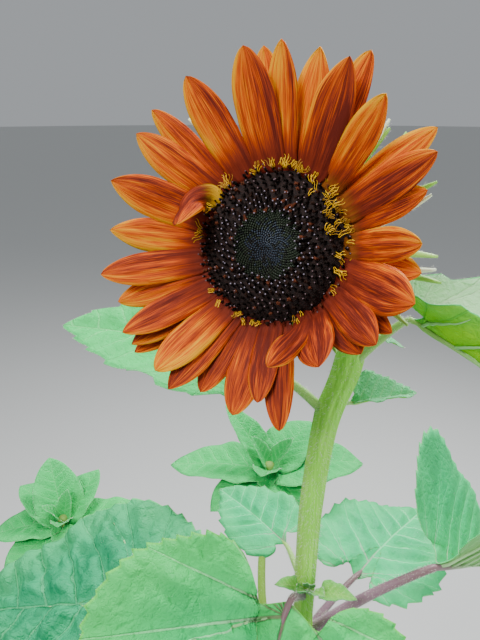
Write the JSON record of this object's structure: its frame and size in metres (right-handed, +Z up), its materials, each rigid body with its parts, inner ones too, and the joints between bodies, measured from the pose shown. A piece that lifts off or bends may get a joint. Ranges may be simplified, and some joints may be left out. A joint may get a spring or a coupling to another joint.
{
  "type": "sunflower plant",
  "caption": "Upright branching sunflower plant with a hairy green stem, broad toothed heart-shaped leaves and one large bronze-red flower head with a dark seed disc.",
  "frame": {"origin": "middle of the stem's flat cut at ground level", "axes": "+Z up along the stem, -Y to the front, the side the flower head faces, +X to the right seen from the front"},
  "size_m": [0.5967, 0.5176, 1.5237],
  "materials": {
    "stem": "green, bristly, faintly ridged",
    "leaf": "matt green with pale veins",
    "young_leaf": "light mint green, smooth",
    "bract": "hairy green",
    "petal": "satin, bronze-red with golden edges",
    "seed_disc": "dark florets"
  },
  "bodies": {
    "root": {"stem": "stem", "seed_disc": "seed_disc", "bract_cup": "bract", "petal_01": "petal", "petal_02": "petal", "petal_03": "petal", "petal_04": "petal", "petal_05": "petal", "petal_06": "petal", "petal_07": "petal", "petal_08": "petal", "petal_09": "petal", "petal_10": "petal", "petal_11": "petal", "petal_12": "petal", "petal_13": "petal", "petal_14": "petal", "petal_15": "petal", "petal_16": "petal", "petal_17": "petal", "petal_18": "petal", "petal_19": "petal", "petal_20": "petal", "petal_21": "petal", "petal_22": "petal", "petal_23": "petal", "petal_24": "petal", "petal_25": "petal", "petal_26": "petal", "petal_27": "petal", "petal_28": "petal", "petal_29": "petal", "petal_30": "petal", "petal_31": "petal", "petal_32": "petal", "petal_33": "petal", "petal_34": "petal", "petal_35": "petal", "leaf_upper_left": "young_leaf", "leaf_upper_right": "young_leaf", "leaf_small_right": "young_leaf", "leaf_tiny_right": "young_leaf", "leaf_front": "leaf", "leaf_mid_right": "leaf", "leaf_low_left": "leaf", "leaf_rear_left": "leaf", "leaf_rear_right": "leaf", "leaf_lower_1": "leaf", "leaf_lower_2": "leaf", "leaf_lower_3": "leaf", "leaf_lower_4": "leaf", "leaf_lower_5": "leaf", "leaf_lower_6": "leaf", "branch_rear": "stem", "young_leaves_rear": "young_leaf", "branch_left": "stem", "young_leaves_left": "young_leaf", "axil_bud": "young_leaf"}
  },
  "joints": []
}
